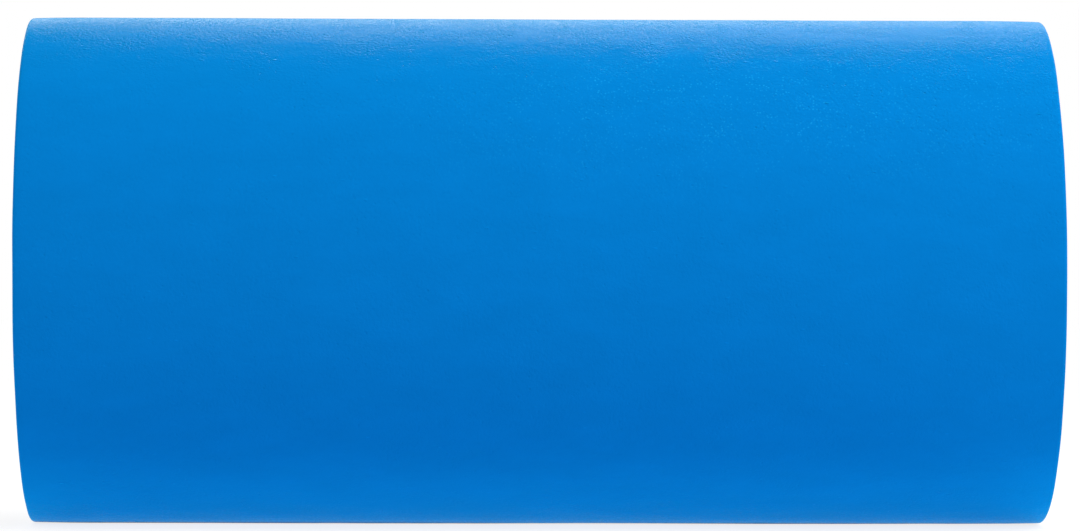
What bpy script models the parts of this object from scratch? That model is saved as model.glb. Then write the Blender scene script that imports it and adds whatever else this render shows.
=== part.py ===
# Massage roller: a foam roller on a hollow core, lying on its side
#
# X runs along the roller, +Y is its far side, +Z is up, and the origin is on the floor
# under its middle. Three rings are glued one inside the other: a soft foam wrap, a firm
# foam base layer and a rigid tube with an open bore. Nothing on it moves.

import bmesh
import bpy
from math import cos, pi, radians, sin

# Driving dimensions, in metres
ROLLER_LENGTH = 0.300
ROLLER_DIAMETER = 0.150
WRAP_THICKNESS = 0.010
BASE_THICKNESS = 0.010
CORE_WALL = 0.0035

# The glue line between one ring and the next
BOND_GAP = 0.0003

# Ends: the wrap's outer edges are rounded, foam edges inside are nearly square, and the
# tube stops short of the foam and is chamfered
WRAP_EDGE_RADIUS = 0.001
FOAM_CUT_RADIUS = 0.0004
CORE_RECESS = 0.002
CORE_CHAMFER = 0.0006

# Each foam ring is a sheet that meets itself in a butt seam. The angles run from the
# underside towards the far side, and the two seams are staggered.
SEAM_GAP = 0.0003
WRAP_SEAM_ANGLE = radians(56.25)
BASE_SEAM_ANGLE = radians(236.25)

# A circle is drawn as this many flats, which touch the true circle. One is underneath.
FLATS = 64
EDGE_SEGMENTS = 4
CHAMFER_SEGMENTS = 1
CUT_MARGIN = 0.001

# Colours are linear, as the Principled shader takes them
BLUE_FOAM = (0.001, 0.175, 0.565, 1.0)
CHARCOAL_FOAM = (0.020, 0.022, 0.026, 1.0)
BLACK_PLASTIC = (0.008, 0.008, 0.009, 1.0)
FOAM_ROUGHNESS = 0.6
PLASTIC_ROUGHNESS = 0.4

# Radii that follow from them
WRAP_OUTER_RADIUS = ROLLER_DIAMETER / 2
WRAP_INNER_RADIUS = WRAP_OUTER_RADIUS - WRAP_THICKNESS
BASE_OUTER_RADIUS = WRAP_INNER_RADIUS - BOND_GAP
BASE_INNER_RADIUS = BASE_OUTER_RADIUS - BASE_THICKNESS
CORE_OUTER_RADIUS = BASE_INNER_RADIUS - BOND_GAP
CORE_INNER_RADIUS = CORE_OUTER_RADIUS - CORE_WALL


def clear_scene():
    for obj in list(bpy.data.objects):
        bpy.data.objects.remove(obj, do_unlink=True)


def new_collection(name):
    collection = bpy.data.collections.new(name)
    bpy.context.scene.collection.children.link(collection)
    return collection


def make_material(name, colour, roughness):
    material = bpy.data.materials.new(name)
    material.use_nodes = True
    shader = material.node_tree.nodes["Principled BSDF"]
    shader.inputs["Base Color"].default_value = colour
    shader.inputs["Roughness"].default_value = roughness
    shader.inputs["Metallic"].default_value = 0.0
    material.diffuse_color = colour
    return material


def corner(radius, height, size, start, segments):
    """A quarter turn of radius size that fits into the profile's corner at (radius, height)."""
    towards = start + pi / 4
    reach = size * 2 ** 0.5
    centre_r = radius - reach * cos(towards)
    centre_h = height - reach * sin(towards)
    points = []
    for step in range(segments + 1):
        angle = start + (pi / 2) * (1 - step / segments)
        points.append((centre_r + size * cos(angle), centre_h + size * sin(angle)))
    return points


def ring_profile(outer, inner, half_length, outer_edge, inner_edge, segments):
    """The outline of a ring's wall: down its outer side from the top, and back up its bore."""
    top_outer = corner(outer, half_length, outer_edge, 0, segments)
    bottom_outer = corner(outer, -half_length, outer_edge, -pi / 2, segments)
    bottom_inner = corner(inner, -half_length, inner_edge, -pi, segments)
    top_inner = corner(inner, half_length, inner_edge, pi / 2, segments)
    return top_outer + bottom_outer + bottom_inner + top_inner


def turned_mesh(name, profile):
    """The profile turned about Z. Its corners stand out so that its flats touch the true circle."""
    across_corners = 1 / cos(pi / FLATS)
    bm = bmesh.new()
    ring = [bm.verts.new((radius * across_corners, 0, height)) for radius, height in profile]
    for here, there in zip(ring, ring[1:] + ring[:1]):
        bm.edges.new((here, there))
    outline = bpy.data.meshes.new(name + "_profile")
    bm.to_mesh(outline)
    bm.free()

    turning = bpy.data.objects.new(name + "_turning", outline)
    bpy.context.scene.collection.objects.link(turning)
    screw = turning.modifiers.new("Turn", "SCREW")
    screw.axis = "Z"
    screw.angle = 2 * pi
    screw.steps = FLATS
    screw.render_steps = FLATS
    screw.use_merge_vertices = True
    screw.merge_threshold = 0.00001
    turned = turning.evaluated_get(bpy.context.evaluated_depsgraph_get())
    mesh = bpy.data.meshes.new_from_object(turned)
    mesh.name = name
    bpy.data.objects.remove(turning, do_unlink=True)
    bpy.data.meshes.remove(outline)

    mesh.shade_smooth()
    mesh.set_sharp_from_angle(angle=radians(30))
    return mesh


def add_ring(name, profile, material, parent, collection):
    mesh = turned_mesh(name, profile)
    mesh.materials.append(material)
    ring = bpy.data.objects.new(name, mesh)
    collection.objects.link(ring)
    ring.parent = parent
    ring.rotation_euler = (0, 0, pi / FLATS)
    return ring


def cut_seam(ring, outer, inner, angle, parent, cutters):
    """Opens the ring along its whole length at the angle, by the width of a seam."""
    depth = outer - inner + 2 * CUT_MARGIN
    middle = (outer + inner) / 2
    bm = bmesh.new()
    bmesh.ops.create_cube(bm, size=1.0)
    size = (depth, SEAM_GAP, ROLLER_LENGTH + 2 * CUT_MARGIN)
    bmesh.ops.scale(bm, vec=size, verts=bm.verts)
    mesh = bpy.data.meshes.new(ring.name + "_seam_cutter")
    bm.to_mesh(mesh)
    bm.free()

    cutter = bpy.data.objects.new(mesh.name, mesh)
    cutters.objects.link(cutter)
    cutter.parent = parent
    cutter.location = (middle * cos(angle), middle * sin(angle), 0)
    cutter.rotation_euler = (0, 0, angle)
    cutter.display_type = "WIRE"
    cutter.hide_render = True

    seam = ring.modifiers.new("Seam", "BOOLEAN")
    seam.operation = "DIFFERENCE"
    seam.solver = "EXACT"
    seam.object = cutter


def add_axis(collection):
    """An empty on the roller's centre line. Its Z is the roller's X, and its X points down."""
    axis = bpy.data.objects.new("roller_axis", None)
    collection.objects.link(axis)
    axis.empty_display_size = ROLLER_LENGTH / 2
    axis.location = (0, 0, ROLLER_DIAMETER / 2)
    axis.rotation_euler = (0, pi / 2, 0)
    return axis


def add_wrap(axis, collection, cutters):
    """The soft blue sheet that the user rolls on."""
    profile = ring_profile(
        WRAP_OUTER_RADIUS,
        WRAP_INNER_RADIUS,
        ROLLER_LENGTH / 2,
        WRAP_EDGE_RADIUS,
        FOAM_CUT_RADIUS,
        EDGE_SEGMENTS,
    )
    material = make_material("wrap_foam", BLUE_FOAM, FOAM_ROUGHNESS)
    wrap = add_ring("outer_foam_wrap", profile, material, axis, collection)
    cut_seam(wrap, WRAP_OUTER_RADIUS, WRAP_INNER_RADIUS, WRAP_SEAM_ANGLE, axis, cutters)


def add_base_layer(axis, collection, cutters):
    """The firm layer under the wrap."""
    profile = ring_profile(
        BASE_OUTER_RADIUS,
        BASE_INNER_RADIUS,
        ROLLER_LENGTH / 2,
        FOAM_CUT_RADIUS,
        FOAM_CUT_RADIUS,
        EDGE_SEGMENTS,
    )
    material = make_material("base_foam", CHARCOAL_FOAM, FOAM_ROUGHNESS)
    base = add_ring("firm_base_layer", profile, material, axis, collection)
    cut_seam(base, BASE_OUTER_RADIUS, BASE_INNER_RADIUS, BASE_SEAM_ANGLE, axis, cutters)


def add_core(axis, collection):
    """The rigid tube that the foam is glued to, sawn square and chamfered."""
    profile = ring_profile(
        CORE_OUTER_RADIUS,
        CORE_INNER_RADIUS,
        ROLLER_LENGTH / 2 - CORE_RECESS,
        CORE_CHAMFER,
        CORE_CHAMFER,
        CHAMFER_SEGMENTS,
    )
    material = make_material("core_plastic", BLACK_PLASTIC, PLASTIC_ROUGHNESS)
    add_ring("core_tube", profile, material, axis, collection)


def build():
    clear_scene()
    roller = new_collection("massage_roller")
    cutters = new_collection("massage_roller_cutters")
    axis = add_axis(roller)
    bpy.context.view_layer.update()
    add_wrap(axis, roller, cutters)
    add_base_layer(axis, roller, cutters)
    add_core(axis, roller)


build()
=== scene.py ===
# Massage roller: the looks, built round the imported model
#
# The roller lies along X on the floor, with its far side towards +Y. Each of its three rings is
# made again as a fine mesh: the blue foam wrap, the firm base layer and the rigid tube. The glue
# in the bond lines and seams is added as thin pieces of its own.

from math import cos, pi, radians, sin

import bmesh
import bpy
import numpy as np
from mathutils import Matrix, Vector, noise


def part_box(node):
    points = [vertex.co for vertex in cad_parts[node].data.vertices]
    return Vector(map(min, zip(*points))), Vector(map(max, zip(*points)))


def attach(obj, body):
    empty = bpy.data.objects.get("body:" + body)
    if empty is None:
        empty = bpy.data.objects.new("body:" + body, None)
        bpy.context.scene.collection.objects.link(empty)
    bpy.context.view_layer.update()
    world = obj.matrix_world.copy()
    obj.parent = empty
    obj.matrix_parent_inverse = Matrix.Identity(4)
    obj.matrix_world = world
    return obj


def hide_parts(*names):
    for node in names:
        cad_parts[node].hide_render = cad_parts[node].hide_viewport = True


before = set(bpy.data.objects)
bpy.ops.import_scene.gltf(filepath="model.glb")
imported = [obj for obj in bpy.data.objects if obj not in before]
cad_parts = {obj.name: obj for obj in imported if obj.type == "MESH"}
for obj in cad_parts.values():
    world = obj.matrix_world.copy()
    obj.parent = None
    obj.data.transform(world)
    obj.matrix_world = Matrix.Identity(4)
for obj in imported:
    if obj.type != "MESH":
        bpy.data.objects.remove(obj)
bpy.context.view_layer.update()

MM = 0.001

# The camera, fitted to the roller's outline. The first two values are in the photograph's pixels,
# and the angles are in radians.
PHOTO_SIZE = (1080, 531)
MIDDLE_SEEN_AT = (536.9, 271.4)
CAMERA_DISTANCE = 1.6
CAMERA_YAW = -0.0138
CAMERA_ROLL = 0.0027
SENSOR_WIDTH = 36.0
LENS = 179.0

# Where the two sheets of foam meet themselves, from the underside towards the far side
WRAP_SEAM_ANGLE = radians(56.25)
BASE_SEAM_ANGLE = radians(236.25)
SEAM_GAP = 0.3 * MM

# Rounded edges
WRAP_EDGE_RADIUS = 1.0 * MM
CUT_EDGE_RADIUS = 0.4 * MM
SEAM_EDGE_RADIUS = 0.45 * MM
TUBE_CHAMFER = 0.6 * MM

# The slight unevenness of the foam and of the tube: the height of each wave, its length and a
# seed. The tube's wave runs round a circle of radius 1, so its length has no unit.
LONG_WAVE = (0.11 * MM, 55 * MM, 3.1)
SHORT_WAVE = (0.035 * MM, 14 * MM, 8.7)
PEEL = (0.008 * MM, 4.5 * MM, 14.3)
CUT_WAVE = (0.10 * MM, 16 * MM, 21.9)
DIE_WAVE = (0.02 * MM, 0.06, 5.5)

# The ends are cut a little out of square: their top leans this far to the left, and their
# underside to the right. The wrap is this much thicker at the left end, and thinner at the right.
END_LEAN = 0.3 * MM
WRAP_TAPER = 0.1 * MM

# The foam draws in towards its cut ends: by how much, and over what length
DRAW_IN = 0.25 * MM
DRAW_IN_LENGTH = 18 * MM

# The glue stays this far inside the rings that it joins, and its outer edges are set back
GLUE_CLEARANCE = 0.02 * MM
GLUE_SET_BACK = 0.35 * MM
GLUE_SHARE_OF_GAP = 0.9
GLUE_RIPPLE = 0.12 * MM
GLUE_RIPPLE_LENGTH = 6 * MM
GLUE_STEPS_ALONG = 60
GLUE_STEPS_UP = 3

# How finely the foam rings are drawn, then the plain ones, and the bore of both
STEPS_AROUND = 336
WRAP_STEPS_ALONG = 200
BASE_STEPS_ALONG = 8
EDGE_STEPS = 6
CUT_STEPS = 7
SEAM_EDGE_POINTS = 5
TUBE_STEPS_AROUND = 384
PLAIN_STEPS_ALONG = 6
PLAIN_EDGE_STEPS = 2
PLAIN_CUT_STEPS = 4
BORE_STEPS = 4
SHARP_ANGLE = radians(35)

# How closely the layout for baking draws each ring's outside, its ends and its bore
WRAP_SHOWN = (1, 1.5, 0.05)
TUBE_SHOWN = (0.05, 1, 1)
ENDS_SHOWN = (0.02, 1, 0.02)

# The outside and the bore reach this far into a ring's wall, as a share of its thickness
SKIN_DEPTH = 0.05

# That layout goes from 0 to 1 each way. The rolled-out ring fills its lower part, and the two
# faces of a seam lie side by side in a strip above it.
ROLLED_OUT_HEIGHT = 0.96
STRIP_BOTTOM = 0.97
STRIP_HEIGHT = 0.02
SEAM_FACE_LEFT = 0.01
SEAM_FACE_WIDTH = 0.47
SEAM_FACE_STEP = 0.5

# Colours, linear
BLUE_SKIN = (0.0009, 0.160, 0.488, 1.0)
# The colour of the painted glints: small painted highlights on the upper right of the foam skin
PAINTED_GLINT = (0.008, 0.29, 0.66, 1.0)
BLUE_CUT = (0.0015, 0.185, 0.510, 1.0)
CHARCOAL = (0.020, 0.022, 0.026, 1.0)
BLACK_PLASTIC = (0.008, 0.008, 0.009, 1.0)
DRY_GLUE = (0.30, 0.22, 0.10, 1.0)
WHITE = (1.0, 1.0, 1.0, 1.0)
WITHOUT_RED = (0.0, 1.0, 1.0, 1.0)

# The studio, in metres
FLOOR_HALF = 6.0
SOFT_LAMP_SIZE = 0.6
TABLE_LAMP_HEIGHT = 0.4 * MM
GLEAM_DISTANCE = 1.5


# The rings' sizes, read from the frame

def half_size(node):
    low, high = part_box(node)
    return (high.x - low.x) / 2, (high.z - low.z) / 2


def bore_radius(node, outer_radius):
    """A ring's inner radius, from how near its points come to the axis and how far they go."""
    points = np.array([v.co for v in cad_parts[node].data.vertices])
    away = np.hypot(points[:, 1], points[:, 2] - AXIS_HEIGHT)
    return outer_radius * away.min() / away.max()


WRAP_HALF, WRAP_OUTER = half_size("outer_foam_wrap")
AXIS_HEIGHT = WRAP_OUTER
WRAP_INNER = bore_radius("outer_foam_wrap", WRAP_OUTER)
BASE_HALF, BASE_OUTER = half_size("firm_base_layer")
BASE_INNER = bore_radius("firm_base_layer", BASE_OUTER)
TUBE_HALF, TUBE_OUTER = half_size("core_tube")
TUBE_INNER = bore_radius("core_tube", TUBE_OUTER)


# Shapes

def corner(radius, along, size, start, steps):
    """A quarter turn of radius size, fitted into a section's corner at (radius, along)."""
    towards = start + pi / 4
    centre_r = radius - size * 2 ** 0.5 * cos(towards)
    centre_x = along - size * 2 ** 0.5 * sin(towards)
    turns = start + (pi / 2) * (1 - np.arange(steps + 1) / steps)
    return np.stack([centre_r + size * np.cos(turns), centre_x + size * np.sin(turns)], 1)


def between(start, end, steps):
    """The points that divide the stretch from start to end, without its ends."""
    share = (np.arange(1, steps) / steps)[:, None]
    return np.array(start) * (1 - share) + np.array(end) * share


def ring_section(outer, inner, half, outer_edge, inner_edge, edge_steps, along, across):
    """A ring's wall cut through, as (radius, x) points: its outside, an end, its bore, an end."""
    right_outer = corner(outer, half, outer_edge, 0, edge_steps)
    left_outer = corner(outer, -half, outer_edge, -pi / 2, edge_steps)
    left_inner = corner(inner, -half, inner_edge, -pi, edge_steps)
    right_inner = corner(inner, half, inner_edge, pi / 2, edge_steps)
    return np.concatenate([
        right_outer,
        between(right_outer[-1], left_outer[0], along),
        left_outer,
        between(left_outer[-1], left_inner[0], across),
        left_inner,
        between(left_inner[-1], right_inner[0], BORE_STEPS),
        right_inner,
        between(right_inner[-1], right_outer[0], across),
    ])


def place(radius, x, angle):
    """Points at a radius and an angle round the axis, from the underside towards the far side."""
    up = -radius * np.cos(angle)
    return np.stack([x - END_LEAN * up / WRAP_OUTER, radius * np.sin(angle), AXIS_HEIGHT + up], -1)


def angles_round_seam(seam_angle, radius):
    """The angles of a ring's cross-sections, from one side of its seam to the other."""
    half_gap = SEAM_GAP / 2 / radius
    turns = np.linspace(0, pi / 2, SEAM_EDGE_POINTS)
    fillet = SEAM_EDGE_RADIUS / radius * (1 - np.cos(turns))
    middle = np.linspace(half_gap + fillet[-1], 2 * pi - half_gap - fillet[-1], STEPS_AROUND)
    start = half_gap + fillet[:-1]
    return seam_angle + np.concatenate([start, middle, 2 * pi - start[::-1]])


def wave(points, height, length, seed):
    """Smooth noise over points: height is its amplitude and length its scale."""
    shift = Vector((seed, 0.37 * seed, 0.71 * seed))
    return np.array([height * noise.noise(Vector(p) / length + shift) for p in points])


def uneven_foam(radius, x, angle, outer, seam_angle, half):
    """Moves a foam ring's points as a real sheet departs from a true cylinder."""
    spots = place(radius, x, angle).reshape(-1, 3)
    swell = wave(spots, *LONG_WAVE) + wave(spots, *SHORT_WAVE) + wave(spots, *PEEL)
    swell = swell.reshape(radius.shape)
    nick = wave(spots, *CUT_WAVE).reshape(radius.shape)

    # Both fade in over the rounded edge, on the outside and at the ends
    outside = np.clip((radius - outer + 2 * WRAP_EDGE_RADIUS) / (2 * WRAP_EDGE_RADIUS), 0, 1)
    at_end = np.clip((np.abs(x) - half + WRAP_EDGE_RADIUS) / WRAP_EDGE_RADIUS, 0, 1)

    # The sheet's edges roll over a little where they meet in the seam
    from_seam = np.abs((angle - seam_angle + pi) % (2 * pi) - pi) * outer - SEAM_GAP / 2
    inside_fillet = np.clip(SEAM_EDGE_RADIUS - from_seam, 0, SEAM_EDGE_RADIUS)
    roll = SEAM_EDGE_RADIUS - np.sqrt(SEAM_EDGE_RADIUS ** 2 - inside_fillet ** 2)

    near_end = np.clip((np.abs(x) - half) / DRAW_IN_LENGTH + 1, 0, 1)
    swell = swell - WRAP_TAPER * x / half - DRAW_IN * near_end ** 2
    return radius + outside * (swell - roll), x + np.sign(x) * at_end * nick


def swept_faces(rows, columns, closed):
    """Quads over a grid of points whose columns close on themselves, and whose rows may."""
    faces = []
    for i in range(rows if closed else rows - 1):
        here, there = i * columns, (i + 1) % rows * columns
        for j in range(columns):
            k = (j + 1) % columns
            faces.append((here + j, here + k, there + k, there + j))
    if not closed:
        faces.append(tuple(range(columns)))
        faces.append(tuple(range((rows - 1) * columns, rows * columns)))
    return faces


def flat_layout(section, outer, inner, shown, rows, closed):
    """A ring's surface rolled out flat, as corners for swept_faces: one turn fills the width.

    shown says how closely its outside, its ends and its bore are to be drawn.
    """
    steps = np.roll(section, -1, 0) - section
    middle = section[:, 0] + steps[:, 0] / 2
    away = (middle - inner) / (outer - inner)
    outside, bore = away > 1 - SKIN_DEPTH, away < SKIN_DEPTH
    weight = np.select([outside, bore], [shown[0], shown[2]], shown[1])
    height = np.concatenate([[0], np.cumsum(np.hypot(steps[:, 0], steps[:, 1]) * weight)])
    height *= ROLLED_OUT_HEIGHT / height[-1]
    turns = rows if closed else rows - 1
    left, right = np.arange(turns) / turns, np.arange(1, turns + 1) / turns
    low, high = height[:-1], height[1:]
    corners = np.empty((turns, len(section), 4, 2))
    corners[:, :, 0:2, 0] = left[:, None, None]
    corners[:, :, 2:4, 0] = right[:, None, None]
    corners[:, :, 0::3, 1] = low[None, :, None]
    corners[:, :, 1:3, 1] = high[None, :, None]
    layout = corners.reshape(-1, 2)
    if closed:
        return layout
    across = (section[:, 1] - section[:, 1].min()) / np.ptp(section[:, 1])
    up = (section[:, 0] - inner) / (outer - inner)
    face = np.stack([
        SEAM_FACE_LEFT + SEAM_FACE_WIDTH * across,
        STRIP_BOTTOM + STRIP_HEIGHT * up,
    ], 1)
    return np.concatenate([layout, face, face + (SEAM_FACE_STEP, 0)])


def add_object(name, data):
    made = bpy.data.objects.new(name, data)
    bpy.context.scene.collection.objects.link(made)
    return made


def mesh_object(name, points, faces, materials, face_slots, layout):
    mesh = bpy.data.meshes.new(name)
    mesh.from_pydata(points.tolist(), [], faces)
    for material in materials:
        mesh.materials.append(material)
    mesh.polygons.foreach_set("material_index", face_slots)
    mesh.uv_layers.new(name="OFBake").data.foreach_set("uv", layout.ravel())
    bm = bmesh.new()
    bm.from_mesh(mesh)
    bmesh.ops.recalc_face_normals(bm, faces=bm.faces)
    bm.to_mesh(mesh)
    bm.free()
    mesh.shade_smooth()
    mesh.set_sharp_from_angle(angle=SHARP_ANGLE)
    return add_object(name, mesh)


def bmesh_object(name, bm, material):
    mesh = bpy.data.meshes.new(name)
    bm.to_mesh(mesh)
    bm.free()
    mesh.materials.append(material)
    return add_object(name, mesh)


def round_axis(section, angles):
    """A section's radii and places along the axis, and the angles, for each cross-section."""
    shape = (len(angles), len(section))
    return (
        np.broadcast_to(section[:, 0], shape),
        np.broadcast_to(section[:, 1], shape),
        np.broadcast_to(angles[:, None], shape),
    )


def foam_ring(name, outer, inner, half, outer_edge, seam_angle, steps_along, shown, skin, cut):
    """A sheet of foam wrapped round the axis, with its butt seam open by the seam's width."""
    section = ring_section(
        outer, inner, half, outer_edge, CUT_EDGE_RADIUS, EDGE_STEPS, steps_along, CUT_STEPS
    )
    angles = angles_round_seam(seam_angle, outer)
    radius, x, angle = round_axis(section, angles)
    radius, x = uneven_foam(radius, x, angle, outer, seam_angle, half)
    points = place(radius, x, angle).reshape(-1, 3)
    points[:, 2] = np.maximum(points[:, 2], 0)

    # The cut starts halfway round the outer edge. The last two faces are those of the seam.
    faces = swept_faces(len(angles), len(section), closed=False)
    on_end = section[:, 0] < outer - outer_edge * 0.5
    column_cut = on_end & np.roll(on_end, -1)
    slots = np.tile(column_cut, len(angles) - 1).astype(int).tolist() + [1, 1]
    layout = flat_layout(section, outer, inner, shown, len(angles), closed=False)
    return mesh_object(name, points, faces, [skin, cut], slots, layout)


def plain_ring(name, outer, inner, half, edge, steps_around, shown, material, uneven=None):
    """A closed ring. uneven gives how far its surface departs from its radius at each angle."""
    section = ring_section(
        outer, inner, half, edge, edge, PLAIN_EDGE_STEPS, PLAIN_STEPS_ALONG, PLAIN_CUT_STEPS
    )
    angles = np.arange(steps_around) * 2 * pi / steps_around
    radius, x, angle = round_axis(section, angles)
    if uneven is not None:
        radius = radius + uneven(angles)[:, None]
    points = place(radius, x, angle).reshape(-1, 3)
    faces = swept_faces(len(angles), len(section), closed=True)
    layout = flat_layout(section, outer, inner, shown, len(angles), closed=True)
    return mesh_object(name, points, faces, [material], [0] * len(faces), layout)


def seam_strip(name, outer, inner, half, angle, material):
    """The glue that fills a seam: a thin upright strip along the roller, rippled on its top."""
    bm = bmesh.new()
    bmesh.ops.create_grid(
        bm, x_segments=GLUE_STEPS_ALONG, y_segments=GLUE_STEPS_UP, size=0.5
    )
    bmesh.ops.scale(bm, vec=(2 * half, outer - inner, 1), verts=bm.verts)
    solid = bmesh.ops.extrude_face_region(bm, geom=list(bm.faces))
    moved = [v for v in solid["geom"] if isinstance(v, bmesh.types.BMVert)]
    thick = SEAM_GAP * GLUE_SHARE_OF_GAP
    bmesh.ops.translate(bm, vec=(0, 0, thick), verts=moved)
    bmesh.ops.translate(bm, vec=(0, 0, -thick / 2), verts=bm.verts)

    # Only the points within 0.1 mm of the top are rippled
    below_top = (outer - inner) / 2 - 0.1 * MM
    for v in bm.verts:
        if v.co.y > below_top:
            spot = Vector((v.co.x / GLUE_RIPPLE_LENGTH, 0.3, 4.2))
            v.co.y += GLUE_RIPPLE * noise.noise(spot)
    bmesh.ops.recalc_face_normals(bm, faces=bm.faces)
    strip = bmesh_object(name, bm, material)
    outward = Vector((0, sin(angle), -cos(angle)))
    along = Vector((1, 0, 0))
    turn = Matrix((along, outward, along.cross(outward))).transposed().to_4x4()
    middle = Vector((0, 0, AXIS_HEIGHT)) + outward * (outer + inner) / 2
    strip.data.transform(Matrix.Translation(middle) @ turn)
    return strip


# Materials

def new_material(name):
    material = bpy.data.materials.new(name)
    material.use_nodes = True
    return material, material.node_tree, material.node_tree.nodes["Principled BSDF"]


def set_inputs(tree, node, inputs):
    """Links each input that is given a socket, and sets each that is given a value."""
    for key, value in inputs.items():
        if isinstance(value, bpy.types.NodeSocket):
            tree.links.new(value, node.inputs[key])
        else:
            node.inputs[key].default_value = value


def add_node(tree, kind, inputs=None, **settings):
    node = tree.nodes.new(kind)
    for key, value in settings.items():
        setattr(node, key, value)
    set_inputs(tree, node, inputs or {})
    return node


def place_in_frame(tree, stretch=(1, 1, 1)):
    """Coordinates in the row frame, in metres, scaled along each axis."""
    where = add_node(tree, "ShaderNodeTexCoord").outputs["Object"]
    mapping = add_node(tree, "ShaderNodeMapping", {"Vector": where, "Scale": stretch})
    return mapping.outputs["Vector"]


def noise_at(tree, where, size, detail=2.0, roughness=0.5):
    """Noise whose blotches are about size across."""
    made = add_node(
        tree,
        "ShaderNodeTexNoise",
        {"Vector": where, "Scale": 1 / size, "Detail": detail, "Roughness": roughness},
    )
    return made.outputs["Fac"]


def remap(tree, value, given, wanted, smooth=False):
    """The value moved from the given range to the wanted one, and kept inside it."""
    made = add_node(
        tree,
        "ShaderNodeMapRange",
        {
            "Value": value,
            "From Min": given[0], "From Max": given[1],
            "To Min": wanted[0], "To Max": wanted[1],
        },
        interpolation_type="SMOOTHSTEP" if smooth else "LINEAR",
    )
    return made.outputs["Result"]


def combine(tree, kind, *values):
    made = add_node(tree, "ShaderNodeMath", dict(enumerate(values)), operation=kind)
    return made.outputs["Value"]


def times(tree, first, *others):
    for other in others:
        first = combine(tree, "MULTIPLY", first, other)
    return first


def plus(tree, total, part, share):
    """The total with a share of the part added to it."""
    return combine(tree, "MULTIPLY_ADD", part, share, total)


def pits(tree, where, spacing, size, share):
    """Small round pits, in a share of the cells: 1 in a pit's middle and 0 outside."""
    cells = add_node(tree, "ShaderNodeTexVoronoi", {"Vector": where, "Scale": 1 / spacing})
    hollow = remap(tree, cells.outputs["Distance"], (0, size / spacing), (1, 0), smooth=True)
    pick = add_node(tree, "ShaderNodeSeparateColor", {"Color": cells.outputs["Color"]})
    chosen = combine(tree, "GREATER_THAN", pick.outputs["Red"], 1 - share)
    return times(tree, hollow, chosen)


def mixed(tree, factor, colour, other):
    """From the colour to the other one as factor goes from 0 to 1."""
    made = add_node(tree, "ShaderNodeMix", {0: factor, 6: colour, 7: other}, data_type="RGBA")
    return made.outputs[2]


def tinted(tree, colour, factor, darker, lighter):
    """The colour, from darker to lighter times itself as factor goes from 0 to 1."""
    low = tuple(c * darker for c in colour[:3]) + (1,)
    high = tuple(c * lighter for c in colour[:3]) + (1,)
    return mixed(tree, factor, low, high)


def bump(tree, height, distance):
    made = add_node(tree, "ShaderNodeBump", {"Height": height, "Distance": distance})
    return made.outputs["Normal"]


def foam_skin(name, colour, glint_colour):
    """The smooth outside of closed-cell foam: faint mottle, fine grain and small open pits.

    It is coarser along its top. Its pits are painted a little darker, a painted shade, and its
    pimples lighter, a painted highlight, and the upper part of its right half has small painted
    glints.
    """
    material, tree, shader = new_material(name)
    where = place_in_frame(tree)
    drawn_out = place_in_frame(tree, (0.45, 1, 1))
    mottle = noise_at(tree, drawn_out, 9 * MM, detail=3.0, roughness=0.55)
    grain = noise_at(tree, where, 0.9 * MM)
    wide_pits = pits(tree, where, spacing=2.6 * MM, size=0.55 * MM, share=0.45)
    small_pits = pits(tree, where, spacing=1.5 * MM, size=0.36 * MM, share=0.4)
    hollow = plus(tree, wide_pits, small_pits, 0.6)
    pimple = pits(tree, drawn_out, spacing=3.1 * MM, size=0.42 * MM, share=0.35)

    spot = add_node(tree, "ShaderNodeSeparateXYZ", {"Vector": where}).outputs
    upper = remap(tree, spot["Z"], (85 * MM, 130 * MM), (0, 1), smooth=True)
    rightwards = remap(tree, spot["X"], (-WRAP_HALF, WRAP_HALF), (0, 1))
    near_top = remap(tree, spot["Z"], (132 * MM, 143 * MM), (0.75, 1.05))
    coarse = plus(tree, near_top, times(tree, upper, rightwards), 0.9)
    patch = remap(tree, noise_at(tree, where, 11 * MM), (0.35, 0.65), (0.4, 1.6))

    right_half = remap(
        tree, spot["X"], (-0.5 * WRAP_HALF, 0.2 * WRAP_HALF), (0, 1), smooth=True
    )
    before_end = remap(tree, spot["X"], (0.7 * WRAP_HALF, WRAP_HALF), (1, 0.6))
    cluster = remap(tree, noise_at(tree, where, 7 * MM), (0.40, 0.60), (0.2, 0.8))
    # Painted glints: small light flecks in the colour that stand in for the glints of the lamps on
    # the right. upper, right_half, before_end and cluster only set where they fall.
    painted_glints = pits(tree, where, spacing=0.95 * MM, size=0.42 * MM, share=0.6)
    painted_glints = times(tree, painted_glints, upper, right_half, before_end, cluster)

    # The colour: the mottle is the foam's own tone. The pits are painted darker, a painted shade
    # in them, and the pimples lighter, a painted highlight on their tops.
    shade = plus(tree, plus(tree, mottle, hollow, -0.08), pimple, 0.9)
    skin = tinted(tree, colour, remap(tree, shade, (-1.3, 2.3), (0, 1)), 0.76, 1.24)
    relief = plus(tree, plus(tree, times(tree, grain, 0.12), hollow, -0.09), pimple, 0.16)
    relief = plus(tree, times(tree, relief, patch, coarse), mottle, 0.25)
    set_inputs(tree, shader, {
        "Base Color": mixed(tree, painted_glints, skin, glint_colour),
        "Roughness": remap(tree, grain, (0.35, 0.65), (0.15, 0.36)),
        "Specular IOR Level": 0.001,
        "Specular Tint": WITHOUT_RED,
        "Sheen Weight": 0.18,
        "Sheen Roughness": 0.5,
        "Sheen Tint": WITHOUT_RED,
        "Normal": bump(tree, relief, 1 * MM),
    })
    return material


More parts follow.
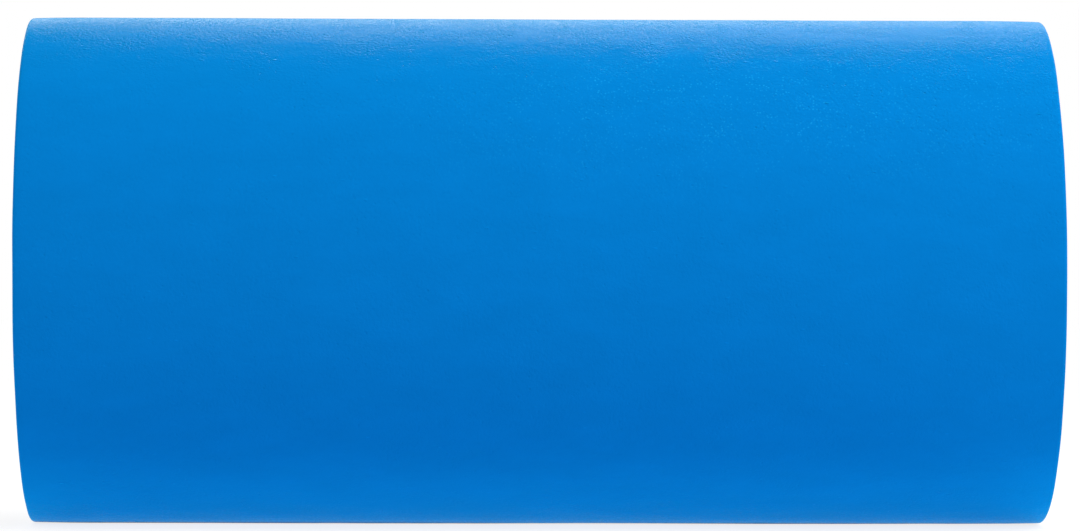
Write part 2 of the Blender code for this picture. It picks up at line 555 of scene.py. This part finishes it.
def foam_cut(name, colour):
    """A knife-cut face of the foam: its closed cells are sliced open, with faint blade lines."""
    material, tree, shader = new_material(name)
    where = place_in_frame(tree)
    cells = add_node(tree, "ShaderNodeTexVoronoi", {"Vector": where, "Scale": 1 / (0.55 * MM)})
    cell = remap(tree, cells.outputs["Distance"], (0, 0.65), (1, 0), smooth=True)
    open_pits = pits(tree, where, spacing=1.6 * MM, size=0.5 * MM, share=0.4)
    blotch = noise_at(tree, where, 5 * MM, detail=3.0)
    blade = noise_at(tree, place_in_frame(tree, (1, 0.03, 1)), 0.7 * MM, detail=1.0)

    # The colour: the blotches are the cut foam's own tone, and the cell hollows and open pits are
    # painted darker, a painted shade in them.
    shade = plus(tree, plus(tree, blotch, cell, -0.18), open_pits, -0.4)
    relief = plus(tree, blotch, blade, 0.5)
    relief = plus(tree, plus(tree, relief, cell, -0.8), open_pits, -1.6)
    set_inputs(tree, shader, {
        "Base Color": tinted(tree, colour, remap(tree, shade, (0, 0.8), (0, 1)), 0.80, 1.10),
        "Roughness": remap(tree, cell, (0, 1), (0.85, 0.65)),
        "Specular IOR Level": 0.12,
        "Normal": bump(tree, relief, 0.10 * MM),
    })
    return material


def extruded_plastic(name, colour):
    """Black plastic with faint die lines along it and fine saw marks over its ends."""
    material, tree, shader = new_material(name)
    die_lines = place_in_frame(tree, (0.004, 1, 1))
    die = noise_at(tree, die_lines, 1.4 * MM, detail=3.0, roughness=0.6)
    haze = noise_at(tree, place_in_frame(tree, (0.3, 1, 1)), 9 * MM, detail=3.0)
    saw = noise_at(tree, place_in_frame(tree, (0.02, 0.02, 1)), 0.35 * MM)
    set_inputs(tree, shader, {
        "Base Color": tinted(tree, colour, haze, 0.85, 1.25),
        "Roughness": remap(tree, haze, (0.3, 0.7), (0.32, 0.44)),
        "Specular IOR Level": 0.5,
        "Normal": bump(tree, plus(tree, die, saw, 0.15), 0.03 * MM),
    })
    return material


def dry_glue(name, colour):
    """Dried contact glue, in blobs along its line."""
    material, tree, shader = new_material(name)
    blobs = noise_at(tree, place_in_frame(tree), 3 * MM, detail=3.0)
    set_inputs(tree, shader, {
        "Base Color": tinted(tree, colour, blobs, 0.6, 1.3),
        "Roughness": remap(tree, blobs, (0.3, 0.7), (0.3, 0.5)),
        "Normal": bump(tree, blobs, 0.1 * MM),
    })
    return material


# The pieces

def add_foam():
    wrap = foam_ring(
        "foam_wrap", WRAP_OUTER, WRAP_INNER, WRAP_HALF, WRAP_EDGE_RADIUS, WRAP_SEAM_ANGLE,
        WRAP_STEPS_ALONG, WRAP_SHOWN,
        foam_skin("blue_foam_skin", BLUE_SKIN, PAINTED_GLINT),
        foam_cut("blue_foam_cut", BLUE_CUT),
    )
    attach(wrap, "root")
    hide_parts("outer_foam_wrap")

    charcoal = foam_cut("charcoal_foam_cut", CHARCOAL)
    base = foam_ring(
        "foam_base", BASE_OUTER, BASE_INNER, BASE_HALF, CUT_EDGE_RADIUS, BASE_SEAM_ANGLE,
        BASE_STEPS_ALONG, ENDS_SHOWN, charcoal, charcoal,
    )
    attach(base, "root")
    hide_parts("firm_base_layer")


def add_tube():
    def die_lines(angles):
        around = np.stack([np.zeros_like(angles), np.sin(angles), np.cos(angles)], -1)
        return wave(around, *DIE_WAVE)

    tube = plain_ring(
        "plastic_tube", TUBE_OUTER, TUBE_INNER, TUBE_HALF, TUBE_CHAMFER, TUBE_STEPS_AROUND,
        TUBE_SHOWN, extruded_plastic("black_plastic", BLACK_PLASTIC), die_lines,
    )
    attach(tube, "root")
    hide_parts("core_tube")


def add_glue():
    """The glue shows as a thin line, set back a little, in each bond and in each seam."""
    glue = dry_glue("dry_glue", DRY_GLUE)
    bonds = (
        ("wrap_glue", WRAP_INNER, BASE_OUTER, BASE_HALF),
        ("tube_glue", BASE_INNER, TUBE_OUTER, TUBE_HALF),
    )
    for name, outer, inner, half in bonds:
        bond = plain_ring(
            name, outer - GLUE_CLEARANCE, inner + GLUE_CLEARANCE, half - GLUE_SET_BACK,
            GLUE_CLEARANCE, STEPS_AROUND, ENDS_SHOWN, glue,
        )
        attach(bond, "root")
    seams = (
        ("wrap_seam_glue", WRAP_OUTER, WRAP_INNER, WRAP_HALF, WRAP_SEAM_ANGLE),
        ("base_seam_glue", BASE_OUTER, BASE_INNER, BASE_HALF, BASE_SEAM_ANGLE),
    )
    for name, outer, inner, half, angle in seams:
        strip = seam_strip(
            name, outer - 2 * GLUE_SET_BACK, inner + GLUE_CLEARANCE, half - GLUE_SET_BACK,
            angle, glue,
        )
        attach(strip, "root")


# The studio

def white_to_camera(tree, shader, bounce, shadow_share):
    """How a white surface shows: mostly an even white, and partly lit, so that shadows still show.

    bounce is the share of light that it throws back on the roller.
    """
    path = add_node(tree, "ShaderNodeLightPath").outputs
    seen = combine(tree, "MAXIMUM", path["Is Camera Ray"], path["Is Glossy Ray"])
    seen = combine(tree, "MAXIMUM", seen, path["Is Transmission Ray"])
    set_inputs(tree, shader, {"Base Color": remap(tree, seen, (0, 1), (bounce, 1))})
    glow = add_node(tree, "ShaderNodeEmission", {"Color": WHITE, "Strength": 1.0})
    share = times(tree, seen, 1 - shadow_share)
    shown = add_node(
        tree, "ShaderNodeMixShader", {0: share, 1: shader.outputs[0], 2: glow.outputs[0]}
    )
    set_inputs(tree, tree.nodes["Material Output"], {"Surface": shown.outputs[0]})


def add_floor():
    material, tree, shader = new_material("floor_white")
    set_inputs(tree, shader, {"Roughness": 0.9, "Specular IOR Level": 0.1})
    white_to_camera(tree, shader, bounce=0.6, shadow_share=0.2)
    bm = bmesh.new()
    bmesh.ops.create_grid(bm, x_segments=2, y_segments=2, size=FLOOR_HALF)
    floor = bmesh_object("floor", bm, material)


def add_world():
    """An even white all round."""
    world = bpy.data.worlds.new("studio")
    bpy.context.scene.world = world
    world.use_nodes = True
    tree = world.node_tree
    set_inputs(tree, tree.nodes["Background"], {"Color": WHITE, "Strength": 1.0})


def add_lamp(name, width, depth, power, at, aim, colour=WHITE):
    data = bpy.data.lights.new(name, "AREA")
    data.shape = "RECTANGLE"
    data.size = width
    data.size_y = depth
    data.energy = power
    data.color = colour[:3]
    lamp = add_object(name, data)
    lamp.location = at
    lamp.rotation_euler = (Vector(aim) - Vector(at)).to_track_quat("-Z", "Y").to_euler()
    lamp.visible_camera = False
    return lamp


def add_lamps():
    """Two soft lamps from the right, light from the table, and two for the top edge's gleam."""
    # Aimed at the roller's middle: power and place
    for name, power, at in (
        ("key_light", 3.9, (0.6, -0.5, 0.7)),
        ("rim_light", 2.8, (0.6, 0.1, 0.8)),
    ):
        add_lamp(name, SOFT_LAMP_SIZE, SOFT_LAMP_SIZE, power, at, (0, 0, AXIS_HEIGHT))

    # Close over the table, facing up: width, depth, power, place across the roller and colour
    for name, width, depth, power, y, colour in (
        ("table_light", 0.6, 0.3, 0.2, -0.15, (0.5, 0.5, 1)),
        ("underside_light", 0.6, 0.12, 0.12, 0, (1, 1, 0.8)),
    ):
        low = add_lamp(name, width, depth, power, (0, y, TABLE_LAMP_HEIGHT), (0, y, 1), colour)
        low.visible_glossy = False

    # Behind the roller, and seen only in reflections: width, depth, power, place along the
    # roller and angle above its top
    top = 2 * AXIS_HEIGHT
    for name, width, depth, power, x, rise in (
        ("gleam_low", 2.4, 0.5, 25.0, 0.15, radians(24)),
        ("gleam_high", 0.6, 0.45, 26.0, 0.1, radians(43.5)),
    ):
        at = (x, GLEAM_DISTANCE * cos(rise), top + GLEAM_DISTANCE * sin(rise))
        gleam = add_lamp(name, width, depth, power, at, (x, 0, top))
        gleam.visible_diffuse = False


def add_camera():
    data = bpy.data.cameras.new("camera")
    camera = add_object("camera", data)
    data.sensor_width = SENSOR_WIDTH
    data.lens = LENS
    data.shift_x = (PHOTO_SIZE[0] / 2 - MIDDLE_SEEN_AT[0]) / PHOTO_SIZE[0]
    data.shift_y = (MIDDLE_SEEN_AT[1] - PHOTO_SIZE[1] / 2) / PHOTO_SIZE[0]
    middle = Vector((0, 0, AXIS_HEIGHT))
    back = Vector((sin(CAMERA_YAW), -cos(CAMERA_YAW), 0))
    camera.location = middle + back * CAMERA_DISTANCE
    level = (-back).to_track_quat("-Z", "Y").to_matrix().to_4x4()
    camera.rotation_euler = (level @ Matrix.Rotation(CAMERA_ROLL, 4, "Z")).to_euler()
    bpy.context.scene.camera = camera


add_camera()
add_foam()
add_tube()
add_glue()
add_floor()
add_world()
add_lamps()
bpy.context.scene.view_settings.view_transform = "Standard"
